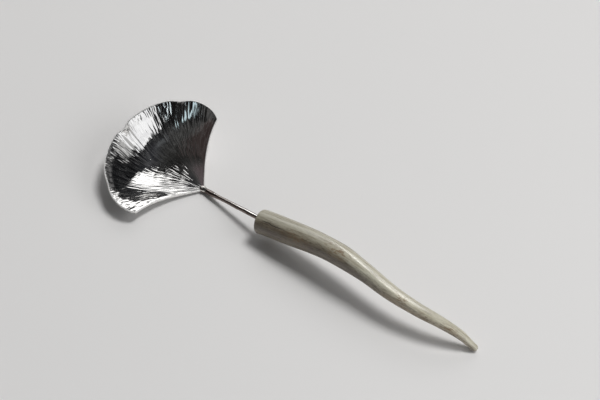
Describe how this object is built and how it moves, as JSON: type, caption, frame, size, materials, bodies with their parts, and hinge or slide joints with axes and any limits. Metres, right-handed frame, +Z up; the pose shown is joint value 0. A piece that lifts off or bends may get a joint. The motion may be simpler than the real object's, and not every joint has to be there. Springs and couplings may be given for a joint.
{
  "type": "serving spoon",
  "caption": "Serving spoon with a dished, fan-shaped leaf bowl of hammered silver, a slim forged stem and a curved antler tine handle.",
  "frame": {"origin": "middle of the underside of the bounding box, on the surface that the spoon lies on", "axes": "+X along the spoon from the bowl to the tip of the handle, +Z up from the table, +Y to the side where the rim of the bowl stands higher"},
  "size_m": [0.2848, 0.0926, 0.0295],
  "materials": {
    "hammered_silver": "polished, with fine hammer strokes that run out from the petiole",
    "forged_silver": "forged and polished, slightly darkened",
    "silver_solder": "bright bead, filed smooth",
    "antler": "satin, with grain along the tine",
    "cured_adhesive": "clear amber resin"
  },
  "bodies": {
    "root": {"bowl": "hammered_silver", "stem": "forged_silver", "solder_fillet": "silver_solder", "handle": "antler", "tang_adhesive": "cured_adhesive"}
  },
  "joints": []
}
